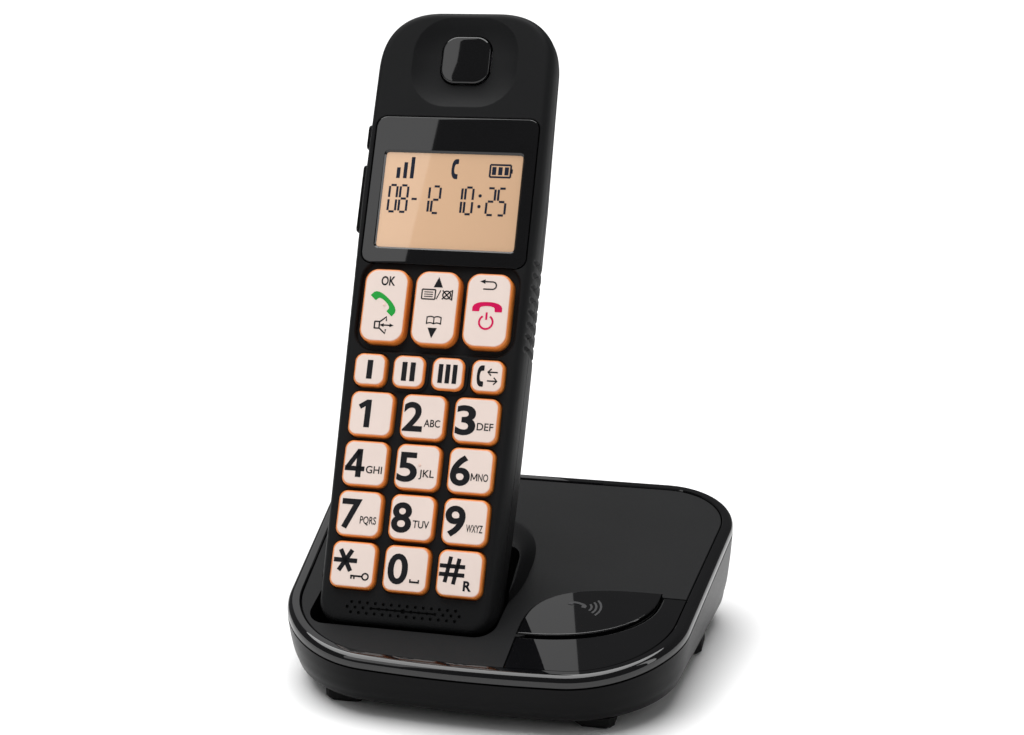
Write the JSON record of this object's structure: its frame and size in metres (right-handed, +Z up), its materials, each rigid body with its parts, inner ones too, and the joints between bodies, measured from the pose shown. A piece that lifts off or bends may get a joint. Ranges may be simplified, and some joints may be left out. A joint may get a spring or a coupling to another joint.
{
  "type": "cordless phone with base",
  "caption": "Cordless telephone handset with large backlit keys, amber display and earpiece, standing in a sloped charging base with a page button.",
  "frame": {"origin": "on the table, under the middle of the whole phone as it stands in its base", "axes": "+Z up, -Y towards the user, +X to the right seen from the front"},
  "size_m": [0.1166, 0.1006, 0.1669],
  "materials": {
    "matte_black": "fine matt moulded texture",
    "gloss_black": "high gloss",
    "satin_black": "satin",
    "key_peach": "backlit translucent caps with black legends",
    "lcd_amber": "amber backlit display",
    "silicone": "soft translucent silicone",
    "board_green": "solder mask",
    "rubber": "matt rubber",
    "steel": "zinc plated",
    "nickel": "nickel plated",
    "cell_wrap": "shrink sleeve"
  },
  "bodies": {
    "base": {"base_bottom_shell": "satin_black", "base_trim_band": "gloss_black", "base_top_cover": "matte_black", "corner_panel": "gloss_black", "base_board": "board_green", "jack_board": "board_green", "page_switch": "satin_black", "line_jack": "matte_black", "dc_jack": "matte_black", "contact_holder": "satin_black", "rubber_foot_1": "rubber", "rubber_foot_2": "rubber", "rubber_foot_3": "rubber", "rubber_foot_4": "rubber", "base_screw_1": "steel", "base_screw_2": "steel"},
    "handset": {"handset_front_cover": "matte_black", "handset_rear_cover": "matte_black", "display_window": "gloss_black", "lcd_panel": "lcd_amber", "earpiece_insert": "gloss_black", "ear_speaker": "steel", "loudspeaker": "steel", "microphone": "nickel", "keypad_mat": "silicone", "handset_board": "board_green", "battery_cell_left": "cell_wrap", "battery_cell_right": "cell_wrap", "battery_spring_left": "nickel", "battery_spring_right": "nickel", "battery_bridge": "nickel", "handset_contact_left": "nickel", "handset_contact_right": "nickel", "handset_screw_left": "steel", "handset_screw_right": "steel"},
    "battery_cover": {"battery_cover": "matte_black"},
    "volume_key": {"volume_key": "satin_black"},
    "tone_key": {"tone_key": "satin_black"},
    "key_talk": {"key_talk": "key_peach"},
    "key_navigator": {"key_navigator": "key_peach"},
    "key_off": {"key_off": "key_peach"},
    "key_memory_1": {"key_memory_1": "key_peach"},
    "key_memory_2": {"key_memory_2": "key_peach"},
    "key_memory_3": {"key_memory_3": "key_peach"},
    "key_redial": {"key_redial": "key_peach"},
    "key_1": {"key_1": "key_peach"},
    "key_2": {"key_2": "key_peach"},
    "key_3": {"key_3": "key_peach"},
    "key_4": {"key_4": "key_peach"},
    "key_5": {"key_5": "key_peach"},
    "key_6": {"key_6": "key_peach"},
    "key_7": {"key_7": "key_peach"},
    "key_8": {"key_8": "key_peach"},
    "key_9": {"key_9": "key_peach"},
    "key_star": {"key_star": "key_peach"},
    "key_0": {"key_0": "key_peach"},
    "key_hash": {"key_hash": "key_peach"},
    "page_button": {"page_button": "gloss_black"},
    "charge_pin_left": {"charge_pin_left": "nickel"},
    "charge_pin_right": {"charge_pin_right": "nickel"}
  },
  "joints": [
    {"name": "handset_lift", "type": "slide", "parent": "base", "child": "handset", "axis": [0, 0.4478, 0.8942], "range_m": [0, 0.06]},
    {"name": "battery_cover_lift", "type": "slide", "parent": "handset", "child": "battery_cover", "axis": [0, 0.8942, -0.4478], "range_m": [0, 0.008]},
    {"name": "volume_key_rock", "type": "hinge", "parent": "handset", "child": "volume_key", "pos_m": [-0.04028, 0.01967, 0.11844], "axis": [0, -0.8942, 0.4478], "range_deg": [-2.5, 2.5], "stiffness_Nm_per_rad": 0.2},
    {"name": "tone_key_press", "type": "slide", "parent": "handset", "child": "tone_key", "axis": [1, 0, 0], "range_m": [0, 0.0005], "stiffness_N_per_m": 400},
    {"name": "key_navigator_rock", "type": "hinge", "parent": "handset", "child": "key_navigator", "pos_m": [-0.0185, 0.00423, 0.09207], "axis": [1, 0, 0], "range_deg": [-3, 3], "stiffness_Nm_per_rad": 0.2},
    {"name": "key_talk_press", "type": "slide", "parent": "handset", "child": "key_talk", "axis": [0, 0.8942, -0.4478], "range_m": [0, 0.0008], "stiffness_N_per_m": 400},
    {"name": "key_off_press", "type": "slide", "parent": "handset", "child": "key_off", "axis": [0, 0.8942, -0.4478], "range_m": [0, 0.0008], "stiffness_N_per_m": 400},
    {"name": "key_memory_1_press", "type": "slide", "parent": "handset", "child": "key_memory_1", "axis": [0, 0.8942, -0.4478], "range_m": [0, 0.0008], "stiffness_N_per_m": 400},
    {"name": "key_memory_2_press", "type": "slide", "parent": "handset", "child": "key_memory_2", "axis": [0, 0.8942, -0.4478], "range_m": [0, 0.0008], "stiffness_N_per_m": 400},
    {"name": "key_memory_3_press", "type": "slide", "parent": "handset", "child": "key_memory_3", "axis": [0, 0.8942, -0.4478], "range_m": [0, 0.0008], "stiffness_N_per_m": 400},
    {"name": "key_redial_press", "type": "slide", "parent": "handset", "child": "key_redial", "axis": [0, 0.8942, -0.4478], "range_m": [0, 0.0008], "stiffness_N_per_m": 400},
    {"name": "key_1_press", "type": "slide", "parent": "handset", "child": "key_1", "axis": [0, 0.8942, -0.4478], "range_m": [0, 0.0008], "stiffness_N_per_m": 400},
    {"name": "key_2_press", "type": "slide", "parent": "handset", "child": "key_2", "axis": [0, 0.8942, -0.4478], "range_m": [0, 0.0008], "stiffness_N_per_m": 400},
    {"name": "key_3_press", "type": "slide", "parent": "handset", "child": "key_3", "axis": [0, 0.8942, -0.4478], "range_m": [0, 0.0008], "stiffness_N_per_m": 400},
    {"name": "key_4_press", "type": "slide", "parent": "handset", "child": "key_4", "axis": [0, 0.8942, -0.4478], "range_m": [0, 0.0008], "stiffness_N_per_m": 400},
    {"name": "key_5_press", "type": "slide", "parent": "handset", "child": "key_5", "axis": [0, 0.8942, -0.4478], "range_m": [0, 0.0008], "stiffness_N_per_m": 400},
    {"name": "key_6_press", "type": "slide", "parent": "handset", "child": "key_6", "axis": [0, 0.8942, -0.4478], "range_m": [0, 0.0008], "stiffness_N_per_m": 400},
    {"name": "key_7_press", "type": "slide", "parent": "handset", "child": "key_7", "axis": [0, 0.8942, -0.4478], "range_m": [0, 0.0008], "stiffness_N_per_m": 400},
    {"name": "key_8_press", "type": "slide", "parent": "handset", "child": "key_8", "axis": [0, 0.8942, -0.4478], "range_m": [0, 0.0008], "stiffness_N_per_m": 400},
    {"name": "key_9_press", "type": "slide", "parent": "handset", "child": "key_9", "axis": [0, 0.8942, -0.4478], "range_m": [0, 0.0008], "stiffness_N_per_m": 400},
    {"name": "key_star_press", "type": "slide", "parent": "handset", "child": "key_star", "axis": [0, 0.8942, -0.4478], "range_m": [0, 0.0008], "stiffness_N_per_m": 400},
    {"name": "key_0_press", "type": "slide", "parent": "handset", "child": "key_0", "axis": [0, 0.8942, -0.4478], "range_m": [0, 0.0008], "stiffness_N_per_m": 400},
    {"name": "key_hash_press", "type": "slide", "parent": "handset", "child": "key_hash", "axis": [0, 0.8942, -0.4478], "range_m": [0, 0.0008], "stiffness_N_per_m": 400},
    {"name": "page_button_press", "type": "slide", "parent": "base", "child": "page_button", "axis": [0, 0, -1], "range_m": [0, 0.001], "stiffness_N_per_m": 600},
    {"name": "charge_pin_left_press", "type": "slide", "parent": "base", "child": "charge_pin_left", "axis": [0, -0.4478, -0.8942], "range_m": [0, 0.0008], "stiffness_N_per_m": 400},
    {"name": "charge_pin_right_press", "type": "slide", "parent": "base", "child": "charge_pin_right", "axis": [0, -0.4478, -0.8942], "range_m": [0, 0.0008], "stiffness_N_per_m": 400}
  ]
}
